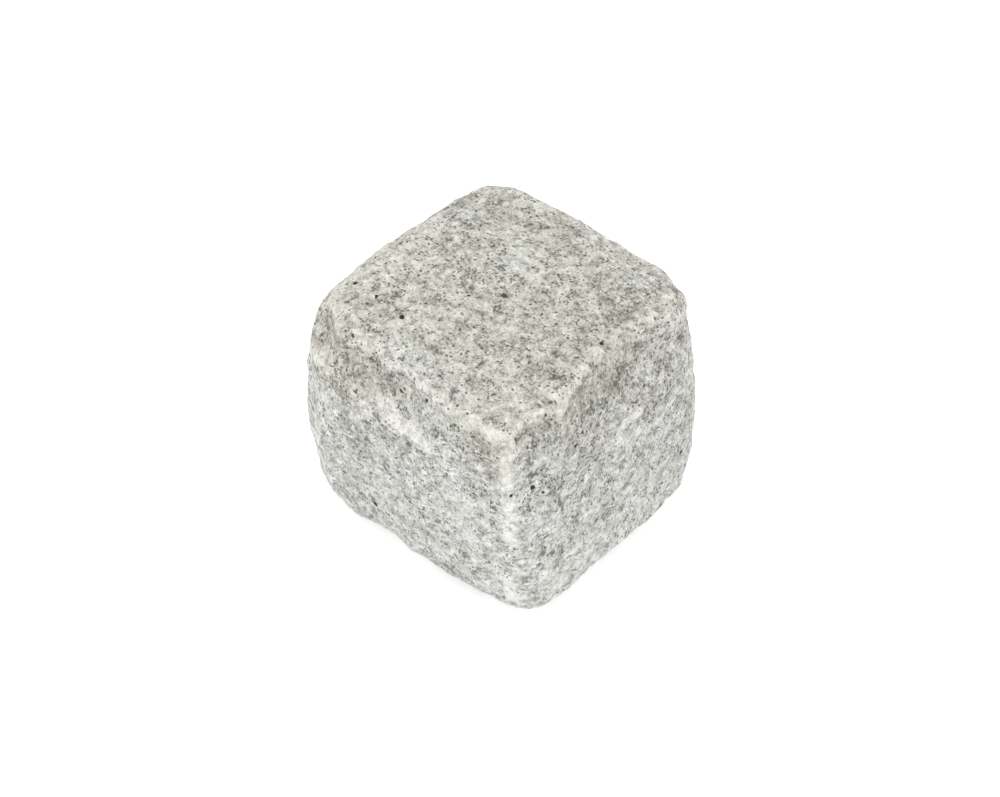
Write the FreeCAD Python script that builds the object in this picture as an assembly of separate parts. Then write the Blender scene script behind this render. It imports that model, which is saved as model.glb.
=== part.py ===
"""Granite sett: one hand-split paving cube, tumbled until its edges are worn round.

Millimetres, +Z up. The sett stands on its bed at z = 0 with its head, the face that is walked on, upward.
The front faces -Y, the right side faces +X, and the origin is under the middle of the block.
"""

import FreeCAD, Part
import math
import os
from dataclasses import dataclass
from FreeCAD import Placement, Rotation, Vector

# Sizes through the middle of the block, from face to face
LENGTH = 99.0  # left to right
WIDTH = 96.5  # front to back
HEIGHT = 89.5  # bed to head

# Head, the top face: how far it swells past flat, and how far it falls towards the right and the front
HEAD_CROWN = 1.4
HEAD_FALL_RIGHT_DEG = 2.3
HEAD_FALL_FRONT_DEG = 0.9

UP = Vector(0, 0, 1)


@dataclass
class Side:
    """A split side: which way it faces in plan, its turn out of square, its lean inward and its swell."""

    facing_deg: float
    skew_deg: float
    batter_deg: float
    belly: float
    reach: float


SIDES = {
    "front": Side(facing_deg=-90, skew_deg=0.9, batter_deg=-3.7, belly=4.0, reach=WIDTH / 2),
    "right": Side(facing_deg=0, skew_deg=-1.2, batter_deg=2.2, belly=3.8, reach=LENGTH / 2),
    "back": Side(facing_deg=90, skew_deg=0.9, batter_deg=4.3, belly=3.0, reach=WIDTH / 2),
    "left": Side(facing_deg=180, skew_deg=-0.7, batter_deg=7.2, belly=4.3, reach=LENGTH / 2),
}

# Worn radii of the upright edges, as (at the bed, at the head)
ARRIS_RADII = {
    ("front", "right"): (11.0, 3.2),
    ("back", "right"): (16.5, 19.0),
    ("back", "left"): (15.0, 15.5),
    ("front", "left"): (23.0, 21.5),
}
# Worn radii of the edges round the head and round the bed, as (at one end, at the other), anticlockwise
# as seen from above
HEAD_EDGE_RADII = {"front": (11.0, 3.2), "right": (3.2, 9.0), "back": (15.5, 15.5), "left": (17.5, 17.5)}
BED_EDGE_RADII = {"front": (11.5, 12.0), "right": (9.0, 6.0), "back": (9.5, 9.5), "left": (9.5, 9.5)}


@dataclass
class Spall:
    """A dished break: where it is, which way it faces, its opening, its depth and how worn its rim is.

    It lies where a line from a point within the block, along bearing_deg in plan and pitch_deg above level,
    comes out. The point is given in shares of the length and width from the middle and of the height from
    the bed. A fresh break has a sharp rim, of radius 0.
    """

    within: tuple
    bearing_deg: float
    pitch_deg: float
    length: float
    breadth: float
    depth: float
    roll_deg: float = 0.0
    rim_radius: float = 3.0


SPALLS = {
    "front_hollow": Spall((0.02, 0, 0.62), -90, 20, length=56, breadth=26, depth=2.4, roll_deg=-10),
    "left_corner_flake": Spall(
        (-0.03, 0, 0.7), -123, 19, length=33, breadth=26, depth=4.2, roll_deg=-14, rim_radius=0
    ),
    "right_hollow": Spall((0, -0.01, 0.62), 0, 20, length=50, breadth=37, depth=3.0, roll_deg=4),
    "head_hollow": Spall((-0.08, 0.25, 0.5), 100, 84, length=34, breadth=34, depth=2.0),
    "head_back_nick": Spall((0.19, 0.05, 0.66), 90, 45, length=18, breadth=15, depth=2.3),
    "bed_front_nick": Spall((-0.1, 0, 0.45), -90, -40, length=22, breadth=15, depth=2.6),
    "bed_right_nick": Spall((0, 0, 0.47), 0, -40, length=40, breadth=15, depth=2.4),
    "right_corner_nick": Spall((0, -0.375, 0.69), 0, 22, length=14, breadth=12, depth=1.7, rim_radius=0),
    "right_arris_scar": Spall(
        (0, -0.28, 0.79), -12, 0, length=18, breadth=28, depth=1.1, roll_deg=8, rim_radius=0
    ),
}
# Half depth of a spall's cutting ellipsoid, as a multiple of the dish's depth: more makes a flatter rim
SPALL_FULLNESS = 4.0
# A point this near to a cutting ellipsoid lies on it
TOUCHING = 1e-3
# A face whose unit normal rises by more than this is a level one
LEVEL = 0.9


def direction(plan_deg, up_deg):
    """Unit vector at a plan angle from +X and an angle above level."""
    plan, up = math.radians(plan_deg), math.radians(up_deg)
    return Vector(math.cos(plan) * math.cos(up), math.sin(plan) * math.cos(up), math.sin(up))


def swollen_half_space(on_face, normal, half_span, swell):
    """Ball whose skin is a face that stands proud by swell in the middle of its span."""
    radius = (half_span**2 + swell**2) / (2 * swell)
    across = normal.cross(UP) if abs(normal.z) < LEVEL else Vector(1, 0, 0)
    ball = Part.makeSphere(radius)
    # The ball's seam is turned to the far side, so that no face of the block is divided by it
    ball.Placement = Placement(on_face - normal * radius, Rotation(-normal, Vector(), across, "XZY"))
    return ball


def split_block():
    """The block as split: a flat bed, four leaning sides and a crowned head, with sharp edges."""
    room = 4 * max(LENGTH, WIDTH, HEIGHT)
    block = Part.makeBox(room, room, room, Vector(-room / 2, -room / 2, 0))
    for side in SIDES.values():
        middle = direction(side.facing_deg, 0) * side.reach + UP * (HEIGHT / 2)
        normal = direction(side.facing_deg + side.skew_deg, side.batter_deg)
        block = block.common(swollen_half_space(middle, normal, side.reach, side.belly))
    fall_right, fall_front = math.radians(HEAD_FALL_RIGHT_DEG), math.radians(HEAD_FALL_FRONT_DEG)
    head_normal = Vector(math.tan(fall_right), -math.tan(fall_front), 1).normalize()
    return block.common(swollen_half_space(UP * HEIGHT, head_normal, LENGTH / 2, HEAD_CROWN))


def face_names(block):
    """The six faces by name: each is the one that lies furthest out along that name's direction."""
    outward = {name: direction(side.facing_deg, 0) for name, side in SIDES.items()}
    outward.update(head=UP, bed=-UP)
    return {
        name: max(block.Faces, key=lambda face: face.CenterOfMass.dot(way)) for name, way in outward.items()
    }


def edge_radii(edge, between):
    """Worn radius at the first and the last end of an edge, from the names of the faces that it parts."""
    along, radii = UP, ARRIS_RADII.get(tuple(sorted(between)))
    for level, level_radii in (("head", HEAD_EDGE_RADII), ("bed", BED_EDGE_RADII)):
        if level in between:
            side = next(name for name in between if name != level)
            along, radii = direction(SIDES[side].facing_deg + 90, 0), level_radii[side]
    run = edge.valueAt(edge.LastParameter) - edge.valueAt(edge.FirstParameter)
    return radii if run.dot(along) > 0 else radii[::-1]


def tumbled_block():
    """The split block with every edge worn to its own radius."""
    block = split_block()
    faces = face_names(block)
    worn_edges = []
    for number, edge in enumerate(block.Edges, start=1):
        between = [name for name, face in faces.items() if any(edge.isSame(other) for other in face.Edges)]
        worn_edges.append((number, *edge_radii(edge, between)))
    document = FreeCAD.newDocument("sett")
    sharp = document.addObject("Part::Feature", "split_block")
    sharp.Shape = block
    worn = document.addObject("Part::Fillet", "tumbled_block")
    worn.Base = sharp
    worn.Edges = worn_edges
    document.recompute()
    return worn.Shape


def spall_tool(block, spall):
    """Ellipsoid that takes a dished break out of the block's skin."""
    facing = direction(spall.bearing_deg, spall.pitch_deg)
    level = direction(spall.bearing_deg + 90, 0)
    start = Vector(*(share * size for share, size in zip(spall.within, (LENGTH, WIDTH, HEIGHT))))
    ray = Part.makeLine(start, start + facing * (2 * max(LENGTH, WIDTH, HEIGHT)))
    on_skin = max(ray.common(block).Vertexes, key=lambda vertex: vertex.Point.dot(facing)).Point
    # The ellipsoid's half depth, and the share of its half width that is left at the level of the skin
    half_depth = SPALL_FULLNESS * spall.depth
    share = math.sqrt(1 - (1 - 1 / SPALL_FULLNESS) ** 2)
    size = FreeCAD.Matrix()
    size.scale(spall.length / 2 / share, spall.breadth / 2 / share, half_depth)
    tool = Part.makeSphere(1.0).transformGeometry(size)
    turn = Rotation(level, Vector(), facing, "ZXY").multiply(Rotation(UP, spall.roll_deg))
    tool.Placement = Placement(on_skin + facing * (half_depth - spall.depth), turn)
    return tool


def on_skin_of(tool, edge):
    """Whether an edge of the stone lies on a cutting ellipsoid, which makes it part of a spall's rim."""
    middle = edge.valueAt((edge.FirstParameter + edge.LastParameter) / 2)
    return tool.Shells[0].distToShape(Part.Vertex(middle))[0] < TOUCHING


def granite_sett():
    """The finished sett: the tumbled block less its spalls, with worn rims, centred over the origin."""
    block = tumbled_block()
    stone = block
    for spall in SPALLS.values():
        tool = spall_tool(block, spall)
        stone = stone.cut(tool).Solids[0]
        if spall.rim_radius:
            rim = [edge for edge in stone.Edges if on_skin_of(tool, edge)]
            stone = stone.makeFillet(spall.rim_radius, rim)
    box = block.optimalBoundingBox(False, False)
    stone.translate(Vector(-box.Center.x, -box.Center.y, -box.ZMin))
    return stone.Solids[0]


os.makedirs("parts", exist_ok=True)
granite_sett().exportStep("parts/granite_sett.step")
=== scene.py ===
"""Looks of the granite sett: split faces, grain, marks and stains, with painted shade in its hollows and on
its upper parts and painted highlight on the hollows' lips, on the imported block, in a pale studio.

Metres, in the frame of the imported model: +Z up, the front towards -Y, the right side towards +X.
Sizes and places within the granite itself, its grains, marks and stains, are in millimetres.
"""

import math
from dataclasses import dataclass

import bpy
import numpy as np
from mathutils import Matrix, Vector, noise


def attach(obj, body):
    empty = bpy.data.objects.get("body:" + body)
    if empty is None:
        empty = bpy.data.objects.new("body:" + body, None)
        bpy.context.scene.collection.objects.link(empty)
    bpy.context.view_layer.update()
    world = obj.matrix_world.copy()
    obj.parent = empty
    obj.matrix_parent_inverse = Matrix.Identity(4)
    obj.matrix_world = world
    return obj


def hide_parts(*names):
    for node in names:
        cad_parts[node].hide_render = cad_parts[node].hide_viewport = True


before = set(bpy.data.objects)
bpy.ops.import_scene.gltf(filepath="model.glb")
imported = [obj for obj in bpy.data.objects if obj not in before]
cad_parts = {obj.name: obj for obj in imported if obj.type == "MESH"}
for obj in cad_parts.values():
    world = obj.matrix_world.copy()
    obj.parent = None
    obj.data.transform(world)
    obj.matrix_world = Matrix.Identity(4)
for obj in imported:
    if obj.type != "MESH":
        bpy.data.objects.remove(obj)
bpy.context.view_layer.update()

MM = 0.001
NODE = "granite_sett"

# Camera, as the photograph was taken
VIEW_AZIMUTH_DEG = 41.04
VIEW_ELEVATION_DEG = 44.89
VIEW_DISTANCE = 586.5 * MM
VIEW_AIM = Vector((2.9, -1.7, 42.4)) * MM
LENS_MM = 68.4
SENSOR_MM = 36.0
CLIP_START = 10 * MM


@dataclass
class Relief:
    """An uneven surface: how long and how high its largest swells are, its octaves and its pattern."""

    wavelength: float
    height: float
    octaves: int
    pattern: int


# Relief of the stone from its broad swells to its grain, and the chips out of its worn edges
BROAD_RELIEF = Relief(24 * MM, 0.75 * MM, octaves=2, pattern=1)
SPLIT_RELIEF = Relief(8 * MM, 0.6 * MM, octaves=3, pattern=2)
GRAIN_RELIEF = Relief(2.6 * MM, 0.32 * MM, octaves=2, pattern=3)
CHIPS = Relief(7 * MM, 2.0 * MM, octaves=2, pattern=4)
# Each octave is finer than the one before by this step, and lower by the step to the power of the fall
OCTAVE_STEP = 2.0
OCTAVE_FALL = 1.0
# How far each pattern lies from the one before in the noise, in wavelengths
PATTERN_STEP = (17.3, 5.1, 11.7)
# Share of the split relief that is worn off the edges
SPLIT_WORN_OFF = 0.4
# The relief fades out below this height, so that the bed stays flat
BED_BAND = 1.5 * MM

# The mesh's pitch, and how often it is averaged to take the steps of its making out of it
MESH_PITCH = 0.8 * MM
EVEN_ROUNDS = 4
# How often it is averaged to give a point's wider and its nearer surroundings
WIDE_ROUNDS = 60
NEAR_ROUNDS = 9
# How far a fully worn edge stands proud of its wider surroundings, and a ridge of its nearer ones
FULL_WEAR = 0.9 * MM
FULL_RIDGE = 0.22 * MM


def linear(value):
    """A screen value of 0 to 1 as the linear one that a shader takes, by the sRGB curve."""
    if value <= 0.04045:
        return value / 12.92
    return ((value + 0.055) / 1.055) ** 2.4


def srgb(red, green, blue):
    """A screen colour of 0 to 255 as a shader's colour."""
    return (linear(red / 255), linear(green / 255), linear(blue / 255), 1.0)


WHITE = (1.0, 1.0, 1.0, 1.0)
# The ground's colours from its darkest grain to its lightest, as (tone, colour)
GROUND = (
    (0.0, srgb(118, 117, 113)),
    (0.25, srgb(168, 168, 164)),
    (0.5, srgb(205, 205, 202)),
    (0.75, srgb(227, 227, 225)),
    (1.0, srgb(248, 248, 246)),
)
MICA = srgb(88, 87, 85)
SPECK = srgb(45, 44, 43)
# What the ground is multiplied by where it is stained and painted with shade, which darkens its upper
# parts, and where its grains are pinkish or greenish
STAIN_AND_SHADE_TINT = srgb(244, 241, 235)
PINK_TINGE = srgb(255, 253, 251)
GREEN_TINGE = srgb(251, 254, 251)


@dataclass
class Cloud:
    """A cloudy noise: the size of its largest clouds, its finer octaves and how strong they are."""

    size: float
    detail: float
    roughness: float


# Grit in the grains, mottle and clouds of the ground, patches of wear and of stain with painted shade,
# clusters of flecks, tinges
GRIT = Cloud(0.7, 1.0, 0.6)
MOTTLE = Cloud(4.0, 4.0, 0.72)
CLOUDS = Cloud(22.0, 3.0, 0.6)
PATCHES = Cloud(17.0, 3.0, 0.5)
CLUSTERS = Cloud(4.5, 3.0, 0.6)
TINGES = Cloud(8.0, 2.0, 0.6)

# Sizes of the ground's coarse and fine grains, and of the feldspar grains that hold few flecks
COARSE_GRAIN = 2.6
FINE_GRAIN = 1.1
FELDSPAR_GRAIN = 3.4
# How far the grains' outlines are bent, how many bends there are to a millimetre, and their finer octaves
BEND = 0.7
BENDS_PER_MM = 0.9
BEND_DETAIL = 2.0

# The ground's tone where nothing changes it, and how far each thing changes it
GROUND_TONE = 0.475
TONE_WEIGHTS = {
    "coarse_grain": 0.26,
    "fine_grain": 0.34,
    "grit": 1.0,
    "mottle": 1.3,
    "clouds": 0.5,
    "edge": 0.09,
    "ridge": 0.2,
    "marks": 1.0,
}
# The flecks' chance to grow where nothing changes it, and how far each thing changes it
FLECK_CHANCE = 0.06
FLECK_WEIGHTS = {"clusters": 1.0, "pale_marks": -1.3, "edge": -0.06, "feldspar": -0.35, "clotted": 0.35}
# How far each thing raises the surface, as shares of the bump's depth
BUMP_WEIGHTS = {"mottle": 0.7, "fine_grain": 0.2}
BUMP_STRENGTH = 0.45
BUMP_DEPTH = 0.4 * MM
# The matt surface, in the shader's own terms
ROUGHNESS = 0.75
SPECULAR = 0.3

# Where each of these sets in and where it is full: worn edges, the patches in which they are pale, ridges,
# feldspar grains, marks that are clotted with flecks or black, greenish grains, and patches of stain and
# painted shade
WEAR_RANGE = (0.08, 0.8)
WORN_PATCH_RANGE = (0.3, 0.6)
RIDGE_RANGE = (0.25, 1.0)
FELDSPAR_RANGE = (0.72, 0.78)
CLOTTED_RANGE = (-0.2, -0.55)
BLACK_RANGE = (-0.6, -1.2)
GREEN_RANGE = (0.3, 0.7)
STAIN_AND_SHADE_PATCH_RANGE = (0.0, 0.6)
# Heights between which the stain and the painted shade of the upper parts set in, and how far the patches
# move them up and down
STAIN_AND_SHADE_HEIGHT_RANGE = (58, 90)
STAIN_AND_SHADE_HEIGHT_SHIFT = 50.0


@dataclass
class Dots:
    """Dark grains: spacing, largest radius, the chances between which they grow, colour and its cover."""

    spacing: float
    radius: float
    chances: tuple
    colour: tuple
    cover: float


# Small flecks of mica, larger plates of it, and black specks
FLECKS = Dots(0.95, 0.47, (0.54, 1.02), MICA, 0.85)
PLATES = Dots(2.0, 0.8, (0.74, 1.15), MICA, 0.6)
SPECKS = Dots(4.0, 0.75, (0.88, 1.05), SPECK, 0.9)
# How far a dot's rim is blurred and its outline broken up, as shares of its radius
DOT_BLUR = 0.35
DOT_RAGGED = 2.0


@dataclass
class Mark:
    """A streak or speck of odd grains, or a patch of painted shade or highlight: its two ends, its half
    width and how far its tone differs.
    """

    start: tuple
    end: tuple
    half_width: float
    tone: float


# Marks that stand out in the photograph, each picked there and set on the stone under that pixel.
# A speck is a short line through the surface
MARKS = {
    # Painted shade: the hollow below the head's front edge is darkened
    "front_hollow": Mark((-15, -46, 78), (6, -45, 78), 8, -0.09),
    # Pale feldspar and painted highlight: the lens is the hollow's lower lip, lightened as if it caught the
    # light
    "front_lens_feldspar_and_highlight": Mark((-2, -47, 71.6), (14, -48.3, 67.4), 4.2, 0.16),
    "front_lens_core_feldspar_and_highlight": Mark((10, -48.2, 68.6), (17, -48.4, 66.3), 2.8, 0.13),
    # Partly stain, partly painted shade: the flake's facet at the left corner is darkened
    "left_corner_flake": Mark((-36, -39.5, 76.5), (-22, -45.3, 82), 9, -0.19),
    "left_flake_foot": Mark((-27, -45, 72.5), (-20.6, -47.4, 75.2), 5, 0.12),
    # Painted shade: the hollow on the right side is darkened
    "right_hollow": Mark((45, -13, 75), (46, 14, 70), 24, -0.13),
    # Painted highlight: the hollow's lower lip and ledge are lightened as if they caught the light
    "right_hollow_lip": Mark((49.5, 0, 59.8), (49.5, 7.2, 60.8), 2.6, 0.32),
    "right_hollow_ledge": Mark((49.4, -2.1, 60.3), (50, -1.3, 54), 1.6, 0.2),
    "right_arris_shade": Mark((46, -35, 78), (47, -32, 60), 9, -0.1),
    "right_corner_ridge": Mark((42.1, -11, 85.7), (44.7, -22.1, 83.5), 2.2, 0.2),
    "right_corner_ridge_foot": Mark((44.7, -22.1, 83.5), (45.4, -25.7, 81.7), 2.2, 0.24),
    "front_corner_ridge": Mark((43.3, -30.7, 84.1), (42.3, -34, 83.1), 2.2, 0.24),
    "front_corner_lip": Mark((35.2, -45.6, 83.8), (43.1, -42.6, 82.5), 2.5, 0.17),
    "front_arris_strip": Mark((42, -45.2, 77), (44.2, -44, 42), 3.2, 0.15),
    "front_corner_ground": Mark((37, -36, 86.5), (41, -27, 86.5), 8, 0.09),
    "head_right_patch": Mark((27, 21, 89), (37, 19, 88), 11, -0.08),
    "front_middle_patch": Mark((2, -49, 42), (10, -49, 38), 10, -0.07),
    # Painted shade in the hollow at the back of the head, and painted highlight on its lip
    "head_hollow": Mark((-17, 22, 89), (2, 34, 88), 16, -0.09),
    "head_hollow_lip": Mark((-16, 11, 90), (7, 30, 89), 2.6, 0.16),
    "front_foot_patch": Mark((41, -42.5, 21), (42, -41, 13), 4, 0.24),
    "right_foot_patch": Mark((48, -33, 21), (48.5, -26, 12), 4, 0.2),
    "head_dark_cluster": Mark((6.8, -4.3, 91), (6.8, -4.3, 87), 1.3, -1.0),
    "right_low_cluster": Mark((50, -34.6, 33.2), (45, -34.6, 33.2), 2.0, -0.34),
    "right_low_spot": Mark((50.5, -30.8, 30.2), (45, -30.8, 30.2), 1.5, -0.55),
    "right_dark_chain": Mark((48.2, -28.5, 52.5), (48.9, -26.3, 44.2), 1.1, -0.26),
    # Painted shadow: a dark line under the lens's lower edge
    "front_lens_shadow_line": Mark((-0.9, -49.1, 65.3), (16.3, -48.4, 62.1), 1.3, -0.2),
    "right_arris_cluster": Mark((47, -36, 65.7), (42, -35.6, 65.7), 2.1, -0.3),
    "right_arris_speck": Mark((47, -37, 61.4), (43, -36.5, 61.4), 0.95, -2.4),
    "right_small_speck": Mark((49, -33.5, 57.3), (44, -33.2, 57.3), 0.6, -1.6),
    "front_arris_speck": Mark((45.5, -46, 63.1), (43, -43, 63.1), 0.65, -1.6),
    "front_edge_speck": Mark((13.6, -47, 83), (13.6, -44, 80), 0.75, -1.6),
    "front_low_speck": Mark((-9.2, -50, 22.8), (-9.2, -41, 20.8), 1.0, -2.4),
    "head_black_speck": Mark((-9.2, -30.6, 91), (-9.2, -30.6, 87), 0.95, -2.4),
    "head_left_speck": Mark((-21.3, -28.5, 91), (-21.3, -28.5, 87), 0.6, -2.0),
    "head_corner_speck": Mark((-31.8, -27.9, 88.5), (-30.8, -27.5, 87.5), 0.9, -1.6),
    "head_middle_speck": Mark((-0.7, -11.2, 91), (-0.7, -11.2, 87), 0.6, -1.6),
    "right_far_speck": Mark((51.5, 31.6, 23.8), (47, 31.6, 23.8), 1.1, -2.0),
    "head_right_speck": Mark((39.3, 0.3, 89), (39.3, 0.3, 85), 0.75, -1.2),
}
# Where the stain and painted shade are stronger than their height gives, as marks whose tone is how much
# more of them there is
STAINS_AND_SHADE = {
    # Partly stain, partly painted shade on the left corner's flake
    "left_corner_flake": Mark((-36, -38.8, 76.8), (-20, -44.5, 80), 18, 0.7),
    "front_corner": Mark((36, -36, 86), (42, -26, 85.5), 11, 0.9),
    # Partly stain, partly painted shade in the right side's hollow
    "right_hollow": Mark((45, -13, 75), (46, 14, 70), 24, 0.4),
}
# Share of a mark's half width within which it is at its full strength
MARK_CORE = 0.4


@dataclass
class Lamp:
    """A soft square lamp: where it is, how wide it is and its power in watts."""

    place: tuple
    width: float
    power: float


LAMPS = {
    "soft_left": Lamp((-0.6, -0.8, 0.35), 0.8, 1.7),
    "soft_right": Lamp((1.0, -0.2, 0.35), 0.8, 1.2),
    "soft_top": Lamp((0.1, 0.1, 1.1), 0.9, 1.2),
}
SURROUND_STRENGTH = 0.96
# The floor: half its side, its colour, and how much it glows where it is seen
FLOOR_HALF = 4.0
FLOOR_COLOUR = (0.86, 0.86, 0.86, 1.0)
FLOOR_GLOW = 0.45


def point_array(mesh):
    """A mesh's points as rows of x, y, z."""
    points = np.empty(len(mesh.vertices) * 3)
    mesh.vertices.foreach_get("co", points)
    return points.reshape(-1, 3)


def normal_array(mesh):
    """A mesh's point normals as rows of x, y, z."""
    normals = np.empty(len(mesh.vertices) * 3)
    mesh.vertex_normals.foreach_get("vector", normals)
    return normals.reshape(-1, 3)


def edge_array(mesh):
    """A mesh's edges as rows of the numbers of two points."""
    edges = np.empty(len(mesh.edges) * 2, dtype=np.int64)
    mesh.edges.foreach_get("vertices", edges)
    return edges.reshape(-1, 2)


def smoothed(points, edges, rounds):
    """Points of a mesh, each moved half way to the middle of its neighbours so many times."""
    count = np.bincount(edges.ravel(), minlength=len(points))[:, None]
    for _ in range(rounds):
        total = np.zeros_like(points)
        np.add.at(total, edges[:, 0], points[edges[:, 1]])
        np.add.at(total, edges[:, 1], points[edges[:, 0]])
        points = 0.5 * points + 0.5 * total / count
    return points


def proud(points, normals, edges, rounds):
    """How far each point stands proud of its surroundings."""
    return ((points - smoothed(points, edges, rounds)) * normals).sum(axis=1)


def height_of(relief, points):
    """Height of a relief at each point."""
    offset = Vector([relief.pattern * step for step in PATTERN_STEP])
    places = [Vector(point) / relief.wavelength + offset for point in points]
    raw = [noise.fractal(place, OCTAVE_FALL, OCTAVE_STEP, relief.octaves) for place in places]
    return relief.height * np.array(raw)


def even_piece(cad_node):
    """A new piece with a CAD node's surface as a fine even mesh."""
    piece = bpy.data.objects.new("sett_stone", cad_node.data.copy())
    bpy.context.scene.collection.objects.link(piece)
    remesh = piece.modifiers.new("even_mesh", "REMESH")
    remesh.mode = "VOXEL"
    remesh.voxel_size = MESH_PITCH
    bpy.context.view_layer.update()
    evaluated = piece.evaluated_get(bpy.context.evaluated_depsgraph_get())
    mesh = bpy.data.meshes.new_from_object(evaluated)
    piece.modifiers.clear()
    piece.data = mesh
    mesh.name = "sett_stone"
    return piece


def stone_piece(cad_node):
    """The sett's surface, displaced by the split, the grain and the chips out of its worn edges."""
    piece = even_piece(cad_node)
    mesh = piece.data
    edges = edge_array(mesh)
    points = smoothed(point_array(mesh), edges, EVEN_ROUNDS)
    mesh.vertices.foreach_set("co", points.ravel())
    mesh.update()
    normals = normal_array(mesh)

    wear = proud(points, normals, edges, WIDE_ROUNDS) / FULL_WEAR
    worn_edge = np.clip(wear, 0, 1)
    rise = (
        height_of(BROAD_RELIEF, points)
        + height_of(SPLIT_RELIEF, points) * (1 - SPLIT_WORN_OFF * worn_edge)
        + height_of(GRAIN_RELIEF, points)
        - np.clip(height_of(CHIPS, points), 0, None) * worn_edge
    )
    rise *= np.clip(points[:, 2] / BED_BAND, 0, 1)
    points = points + normals * rise[:, None]
    points[:, 2] = np.maximum(points[:, 2], 0)
    mesh.vertices.foreach_set("co", points.ravel())

    ridge = proud(points, normals, edges, NEAR_ROUNDS) / FULL_RIDGE
    for name, values in (("wear", wear), ("ridge", ridge)):
        attribute = mesh.attributes.new(name, "FLOAT", "POINT")
        attribute.data.foreach_set("value", values.astype(np.float32))
    for polygon in mesh.polygons:
        polygon.use_smooth = True
    mesh.update()
    return piece


class Graph:
    """A material's nodes, added one by one. Inputs are given as values or as other nodes' outputs."""

    def __init__(self, name):
        self.material = bpy.data.materials.new(name)
        self.material.use_nodes = True
        self.tree = self.material.node_tree
        self.tree.nodes.clear()

    def add(self, kind, settings=None, **inputs):
        """A new node. An input's name has underscores for spaces, or is i and its number."""
        made = self.tree.nodes.new(kind)
        for name, value in (settings or {}).items():
            setattr(made, name, value)
        for name, value in inputs.items():
            numbered = name[0] == "i" and name[1:].isdigit()
            socket = made.inputs[int(name[1:]) if numbered else name.replace("_", " ")]
            if isinstance(value, bpy.types.NodeSocket):
                self.tree.links.new(value, socket)
            else:
                socket.default_value = value
        return made

    def math(self, operation, *values, clamp=False):
        """The result of an operation on values or outputs."""
        inputs = {f"i{number}": value for number, value in enumerate(values)}
        settings = {"operation": operation, "use_clamp": clamp}
        return self.add("ShaderNodeMath", settings, **inputs).outputs[0]

    def vector(self, operation, *values, output="Vector", **inputs):
        """The result of an operation on vectors."""
        inputs.update({f"i{number}": value for number, value in enumerate(values)})
        return self.add("ShaderNodeVectorMath", {"operation": operation}, **inputs).outputs[output]

    def sum(self, start, *parts):
        """A value or output, and more of them times their weights."""
        total = start
        for value, weight in parts:
            total = self.math("MULTIPLY_ADD", value, weight, total)
        return total

    def weighed(self, start, weights, values):
        """A start, and for each name in the weights its value times its weight."""
        return self.sum(start, *((values[name], weight) for name, weight in weights.items()))

    def step(self, value, low, high):
        """A smooth rise from 0 at low to 1 at high."""
        made = self.add("ShaderNodeMapRange", {"interpolation_type": "SMOOTHSTEP"}, Value=value)
        made.inputs["From Min"].default_value = low
        made.inputs["From Max"].default_value = high
        return made.outputs["Result"]

    def centred(self, value):
        """A value of 0 to 1 as one of -0.5 to 0.5."""
        return self.math("SUBTRACT", value, 0.5)

    def mix(self, share, first, second, blend="MIX"):
        """A blend of two colours."""
        settings = {"data_type": "RGBA", "blend_type": blend}
        return self.add("ShaderNodeMix", settings, i0=share, i6=first, i7=second).outputs[2]

    def ramp(self, value, stops):
        """A colour between stops, each a position and a colour."""
        made = self.add("ShaderNodeValToRGB", Fac=value)
        elements = made.color_ramp.elements
        while len(elements) < len(stops):
            elements.new(0.5)
        for element, (position, colour) in zip(elements, stops):
            element.position = position
            element.color = colour
        return made.outputs["Color"]

    def attribute(self, name):
        """A value that the mesh holds at its points."""
        return self.add("ShaderNodeAttribute", {"attribute_name": name}).outputs["Fac"]

    def noise(self, place, cloud):
        """A cloudy noise, about 0.5 in the middle."""
        inputs = {"Scale": 1 / cloud.size, "Detail": cloud.detail, "Roughness": cloud.roughness}
        return self.add("ShaderNodeTexNoise", Vector=place, **inputs).outputs["Fac"]

    def cells(self, place, size):
        """Grains of about that size: each one's value from 0 to 1, and the distance from its middle."""
        made = self.add("ShaderNodeTexVoronoi", Vector=place, Scale=1 / size)
        value = self.add("ShaderNodeSeparateColor", Color=made.outputs["Color"]).outputs[0]
        return value, made.outputs["Distance"]

    def random_grains(self, place, size):
        """Grains of about that size, each with its own value from 0 to 1."""
        return self.cells(place, size)[0]

    def dots(self, place, ragged, dots, bias):
        """Soft ragged dots, at most one to a cell, which grow as its chance and the bias rise."""
        chance, distance = self.cells(place, dots.spacing)
        growth = self.step(self.math("ADD", chance, bias), *dots.chances)
        blur = DOT_BLUR * dots.radius / dots.spacing
        radius = self.sum(-blur, (growth, dots.radius / dots.spacing + blur))
        distance = self.sum(distance, (ragged, DOT_RAGGED * dots.radius / dots.spacing))
        return self.step(self.math("SUBTRACT", radius, distance), -blur, blur)

    def near(self, place, mark):
        """1 on a mark's line, falling to 0 at its half width."""
        run = Vector(mark.end) - Vector(mark.start)
        offset = self.vector("SUBTRACT", place, mark.start)
        along = self.vector("DOT_PRODUCT", offset, tuple(run / run.length_squared), output="Value")
        along = self.math("ADD", along, 0.0, clamp=True)
        nearest = self.vector("SCALE", tuple(run), Scale=along)
        distance = self.vector("DISTANCE", offset, nearest, output="Value")
        return self.step(distance, mark.half_width, MARK_CORE * mark.half_width)

    def marked(self, place, marks):
        """The marks' tones at a place, each added before the next is made, to keep few values in hand."""
        total = 0.0
        for mark in marks.values():
            total = self.sum(total, (self.near(place, mark), mark.tone))
        return total


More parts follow.
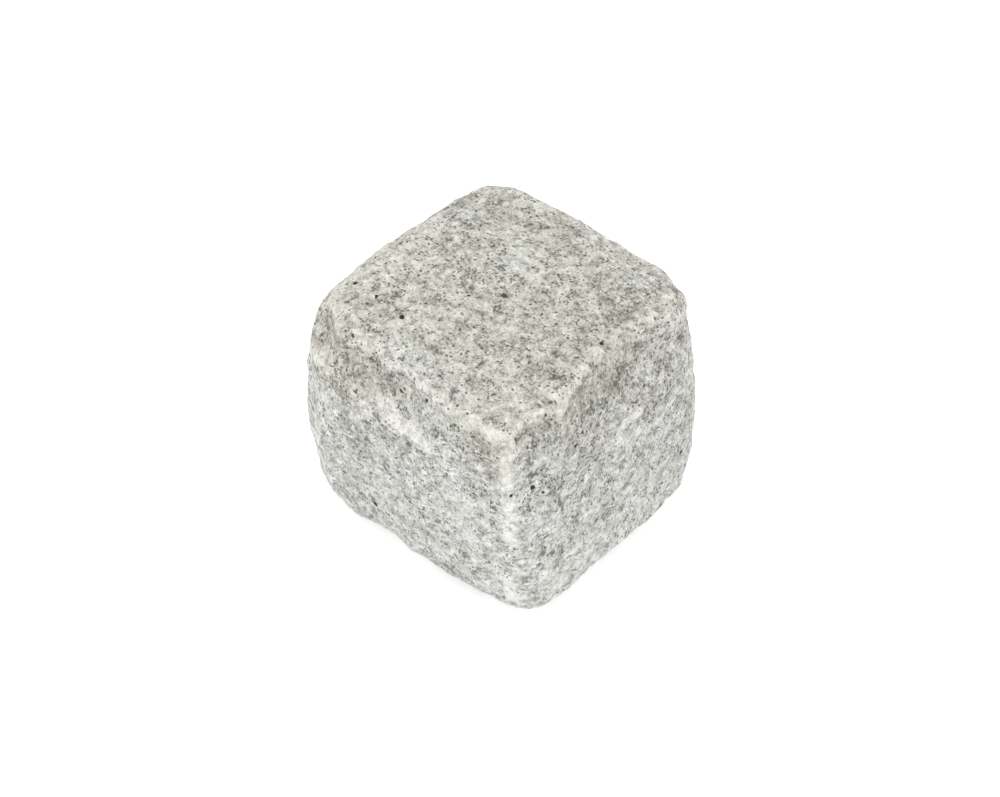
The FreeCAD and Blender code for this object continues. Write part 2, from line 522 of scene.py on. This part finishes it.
def granite():
    """Pale medium-grained granite: feldspar, quartz and mica, a beige stain with painted shade that darkens
    the upper parts, painted shade in hollows and painted highlight on their lips, and pale worn edges.
    """
    graph = Graph("granite")
    place = graph.add("ShaderNodeTexCoord").outputs["Object"]
    place = graph.vector("SCALE", place, Scale=1 / MM)
    bend = graph.add("ShaderNodeTexNoise", Vector=place, Scale=BENDS_PER_MM, Detail=BEND_DETAIL)
    bend = graph.vector("SUBTRACT", bend.outputs["Color"], (0.5, 0.5, 0.5))
    bent = graph.vector("ADD", place, graph.vector("SCALE", bend, Scale=BEND))

    values = {
        "coarse_grain": graph.centred(graph.random_grains(bent, COARSE_GRAIN)),
        "fine_grain": graph.centred(graph.random_grains(bent, FINE_GRAIN)),
        "grit": graph.centred(graph.noise(place, GRIT)),
        "mottle": graph.centred(graph.noise(place, MOTTLE)),
        "clouds": graph.centred(graph.noise(place, CLOUDS)),
    }
    patches = graph.noise(place, PATCHES)
    worn = graph.step(graph.attribute("wear"), *WEAR_RANGE)
    values["edge"] = graph.math("MULTIPLY", worn, graph.step(patches, *WORN_PATCH_RANGE))
    values["ridge"] = graph.step(graph.attribute("ridge"), *RIDGE_RANGE)
    # The marks add odd grains and specks, and also painted shade in the hollows and painted highlight on
    # their lips
    marks = graph.marked(bent, MARKS)
    values["marks"] = marks
    colour = graph.ramp(graph.weighed(GROUND_TONE, TONE_WEIGHTS, values), GROUND)

    values["clusters"] = graph.centred(graph.noise(place, CLUSTERS))
    values["pale_marks"] = graph.math("MAXIMUM", marks, 0.0)
    values["feldspar"] = graph.step(graph.random_grains(bent, FELDSPAR_GRAIN), *FELDSPAR_RANGE)
    values["clotted"] = graph.step(marks, *CLOTTED_RANGE)
    fleck_bias = graph.weighed(FLECK_CHANCE, FLECK_WEIGHTS, values)
    for dots, bias in ((FLECKS, fleck_bias), (PLATES, fleck_bias), (SPECKS, values["clusters"])):
        share = graph.math("MULTIPLY", graph.dots(bent, values["grit"], dots, bias), dots.cover)
        colour = graph.mix(share, colour, dots.colour)
    colour = graph.mix(graph.step(marks, *BLACK_RANGE), colour, SPECK)

    greenish = graph.step(graph.noise(place, TINGES), *GREEN_RANGE)
    colour = graph.mix(1.0, colour, graph.mix(greenish, PINK_TINGE, GREEN_TINGE), blend="MULTIPLY")
    # Beige and darker towards the top: partly stain, partly painted shade of the upper parts
    height = graph.add("ShaderNodeSeparateXYZ", Vector=place).outputs["Z"]
    height = graph.sum(height, (graph.centred(patches), STAIN_AND_SHADE_HEIGHT_SHIFT))
    stain_and_shade = graph.step(height, *STAIN_AND_SHADE_HEIGHT_RANGE)
    stain_and_shade = graph.math("MULTIPLY", stain_and_shade, graph.step(patches, *STAIN_AND_SHADE_PATCH_RANGE))
    stain_and_shade = graph.math("ADD", stain_and_shade, graph.marked(bent, STAINS_AND_SHADE), clamp=True)
    colour = graph.mix(stain_and_shade, colour, STAIN_AND_SHADE_TINT, blend="MULTIPLY")

    # The marks stay out of the bump, which would have each of them worked out three times over
    rise = graph.weighed(0.0, BUMP_WEIGHTS, values)
    bump = graph.add("ShaderNodeBump", Height=rise, Strength=BUMP_STRENGTH, Distance=BUMP_DEPTH)
    shader = graph.add("ShaderNodeBsdfPrincipled", Base_Color=colour, Normal=bump.outputs["Normal"])
    shader.inputs["Roughness"].default_value = ROUGHNESS
    shader.inputs["Specular IOR Level"].default_value = SPECULAR
    graph.add("ShaderNodeOutputMaterial", Surface=shader.outputs[0])
    return graph.material


def white_floor():
    """Matt floor that glows a little where it is seen, so that it is white but keeps a faint shadow."""
    graph = Graph("white_floor")
    path = graph.add("ShaderNodeLightPath")
    seen = graph.math("MAXIMUM", path.outputs["Is Camera Ray"], path.outputs["Is Glossy Ray"])
    seen = graph.math("MAXIMUM", seen, path.outputs["Is Transmission Ray"])
    matt = graph.add("ShaderNodeBsdfDiffuse", Color=FLOOR_COLOUR)
    glow = graph.add("ShaderNodeEmission", Color=WHITE, Strength=FLOOR_GLOW)
    lit = graph.add("ShaderNodeAddShader", i0=matt.outputs[0], i1=glow.outputs[0])
    shown = graph.add("ShaderNodeMixShader", i0=seen, i1=matt.outputs[0], i2=lit.outputs[0])
    graph.add("ShaderNodeOutputMaterial", Surface=shown.outputs[0])

    signs = ((-1, -1), (1, -1), (1, 1), (-1, 1))
    corners = [(x * FLOOR_HALF, y * FLOOR_HALF, 0) for x, y in signs]
    mesh = bpy.data.meshes.new("floor")
    mesh.from_pydata(corners, [], [(0, 1, 2, 3)])
    mesh.materials.append(graph.material)
    floor = bpy.data.objects.new("floor", mesh)
    bpy.context.scene.collection.objects.link(floor)
    return floor


def studio():
    """White floor, an even pale surround and three soft lamps."""
    floor = white_floor()

    world = bpy.data.worlds.new("surround")
    world.use_nodes = True
    background = world.node_tree.nodes["Background"]
    background.inputs["Color"].default_value = WHITE
    background.inputs["Strength"].default_value = SURROUND_STRENGTH
    bpy.context.scene.world = world

    for name, lamp in LAMPS.items():
        light = bpy.data.lights.new(name, "AREA")
        light.size = lamp.width
        light.energy = lamp.power
        holder = bpy.data.objects.new(name, light)
        holder.location = lamp.place
        holder.rotation_euler = (VIEW_AIM - Vector(lamp.place)).to_track_quat("-Z", "Y").to_euler()
        bpy.context.scene.collection.objects.link(holder)


def photo_camera():
    """Camera at the photograph's viewpoint."""
    azimuth = math.radians(VIEW_AZIMUTH_DEG)
    elevation = math.radians(VIEW_ELEVATION_DEG)
    level = math.cos(elevation)
    away = Vector((math.sin(azimuth) * level, -math.cos(azimuth) * level, math.sin(elevation)))
    lens = bpy.data.cameras.new("photo_camera")
    lens.sensor_fit = "HORIZONTAL"
    lens.sensor_width = SENSOR_MM
    lens.lens = LENS_MM
    lens.clip_start = CLIP_START
    camera = bpy.data.objects.new("photo_camera", lens)
    turn = away.to_track_quat("Z", "Y").to_matrix().to_4x4()
    camera.matrix_world = Matrix.Translation(VIEW_AIM + away * VIEW_DISTANCE) @ turn
    bpy.context.scene.collection.objects.link(camera)
    bpy.context.scene.camera = camera


bpy.context.scene.view_settings.view_transform = "Standard"
stone = stone_piece(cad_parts[NODE])
stone.data.materials.clear()
stone.data.materials.append(granite())
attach(stone, "root")
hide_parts(NODE)
studio()
photo_camera()
